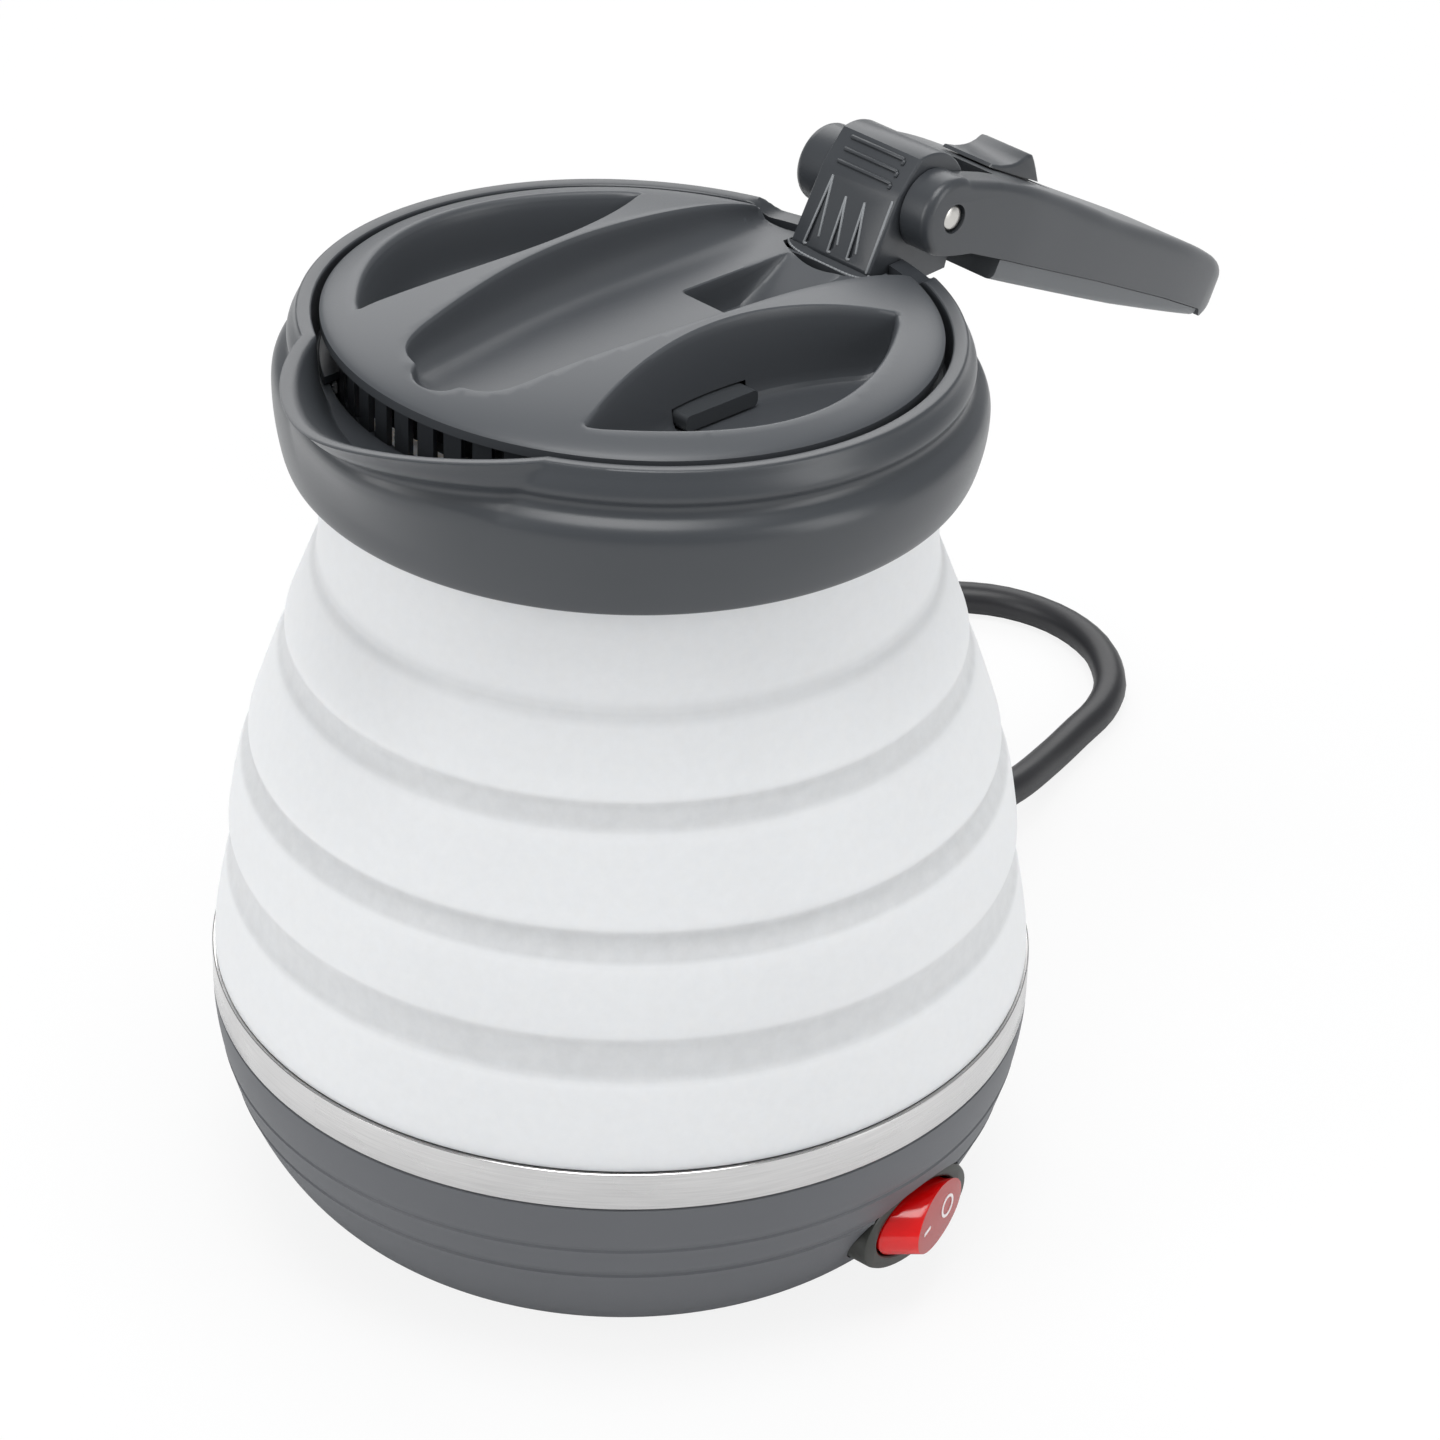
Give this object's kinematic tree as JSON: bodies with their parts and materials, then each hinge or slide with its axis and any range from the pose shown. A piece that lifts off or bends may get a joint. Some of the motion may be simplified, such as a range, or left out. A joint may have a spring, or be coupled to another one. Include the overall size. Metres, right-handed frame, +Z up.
{
  "type": "collapsible travel kettle",
  "caption": "Corded travel kettle: rounded base, stepped silicone wall that folds down, collar with spout, domed latch lid and a fold-over handle",
  "frame": {"origin": "centre of the flat pad under the bottom cover, 1.5 mm above the surface that the feet stand on", "axes": "+Z up the kettle's axis, +X from the axis towards the handle's hinge, -X towards the spout"},
  "size_m": [0.2739, 0.279, 0.1855],
  "materials": {
    "dark_grey_plastic": "satin",
    "base_grey_plastic": "satin",
    "white_silicone": "translucent matte",
    "brushed_steel": "brushed",
    "steel": "plain",
    "black_rubber": "matte",
    "cord_black": "satin",
    "bezel_black": "semi-gloss",
    "rocker_red": "gloss, translucent",
    "seal_silicone": "matte",
    "phenolic": "matte",
    "nickel": "plated"
  },
  "bodies": {
    "base": {"base_shell": "base_grey_plastic", "base_cover": "base_grey_plastic", "foot_1": "black_rubber", "foot_2": "black_rubber", "foot_3": "black_rubber", "foot_4": "black_rubber", "base_screw_1": "steel", "base_screw_2": "steel", "base_screw_3": "steel", "steel_band": "brushed_steel", "heating_plate": "steel", "heating_element": "steel", "thermostat": "phenolic", "thermal_fuse": "nickel", "silicone_wall": "white_silicone", "switch_bezel": "bezel_black", "cord_gland": "black_rubber", "cord_lead": "cord_black", "cord_coil": "cord_black", "mains_plug": "cord_black", "plug_pin_1": "nickel", "plug_pin_2": "nickel"},
    "rocker": {"switch_rocker": "rocker_red"},
    "top": {"collar": "dark_grey_plastic", "clamp_ring": "dark_grey_plastic", "hinge_block": "dark_grey_plastic", "hinge_pin": "steel"},
    "lid": {"lid_cover": "dark_grey_plastic", "lid_skirt": "dark_grey_plastic", "lid_seal": "seal_silicone", "lid_base": "dark_grey_plastic"},
    "latch_left": {"latch_left": "dark_grey_plastic"},
    "latch_right": {"latch_right": "dark_grey_plastic"},
    "handle": {"handle_shell": "dark_grey_plastic", "handle_cover": "base_grey_plastic"},
    "slider": {"handle_slider": "dark_grey_plastic"}
  },
  "joints": [
    {"name": "collapse", "type": "slide", "parent": "base", "child": "top", "axis": [0, 0, -1], "range_m": [0, 0.085], "deforming": ["silicone_wall"]},
    {"name": "lid_lift", "type": "slide", "parent": "top", "child": "lid", "axis": [0, 0, 1], "range_m": [0, 0.035]},
    {"name": "latch_left_press", "type": "slide", "parent": "lid", "child": "latch_left", "axis": [0, -1, 0], "range_m": [0, 0.0025], "stiffness_N_per_m": 400, "springref_m": -0.002},
    {"name": "latch_right_press", "type": "slide", "parent": "lid", "child": "latch_right", "axis": [0, 1, 0], "range_m": [0, 0.0025], "stiffness_N_per_m": 400, "springref_m": -0.002},
    {"name": "handle_fold", "type": "hinge", "parent": "top", "child": "handle", "pos_m": [0.0625, 0, 0.1741], "axis": [0, 1, 0], "range_deg": [-200, 0]},
    {"name": "slider_travel", "type": "slide", "parent": "handle", "child": "slider", "axis": [0.891, 0, -0.454], "range_m": [0, 0.007]},
    {"name": "rocker_tip", "type": "hinge", "parent": "base", "child": "rocker", "pos_m": [0.00526, -0.06682, 0.0165], "axis": [0, 0, 1], "range_deg": [-20, 0]}
  ]
}
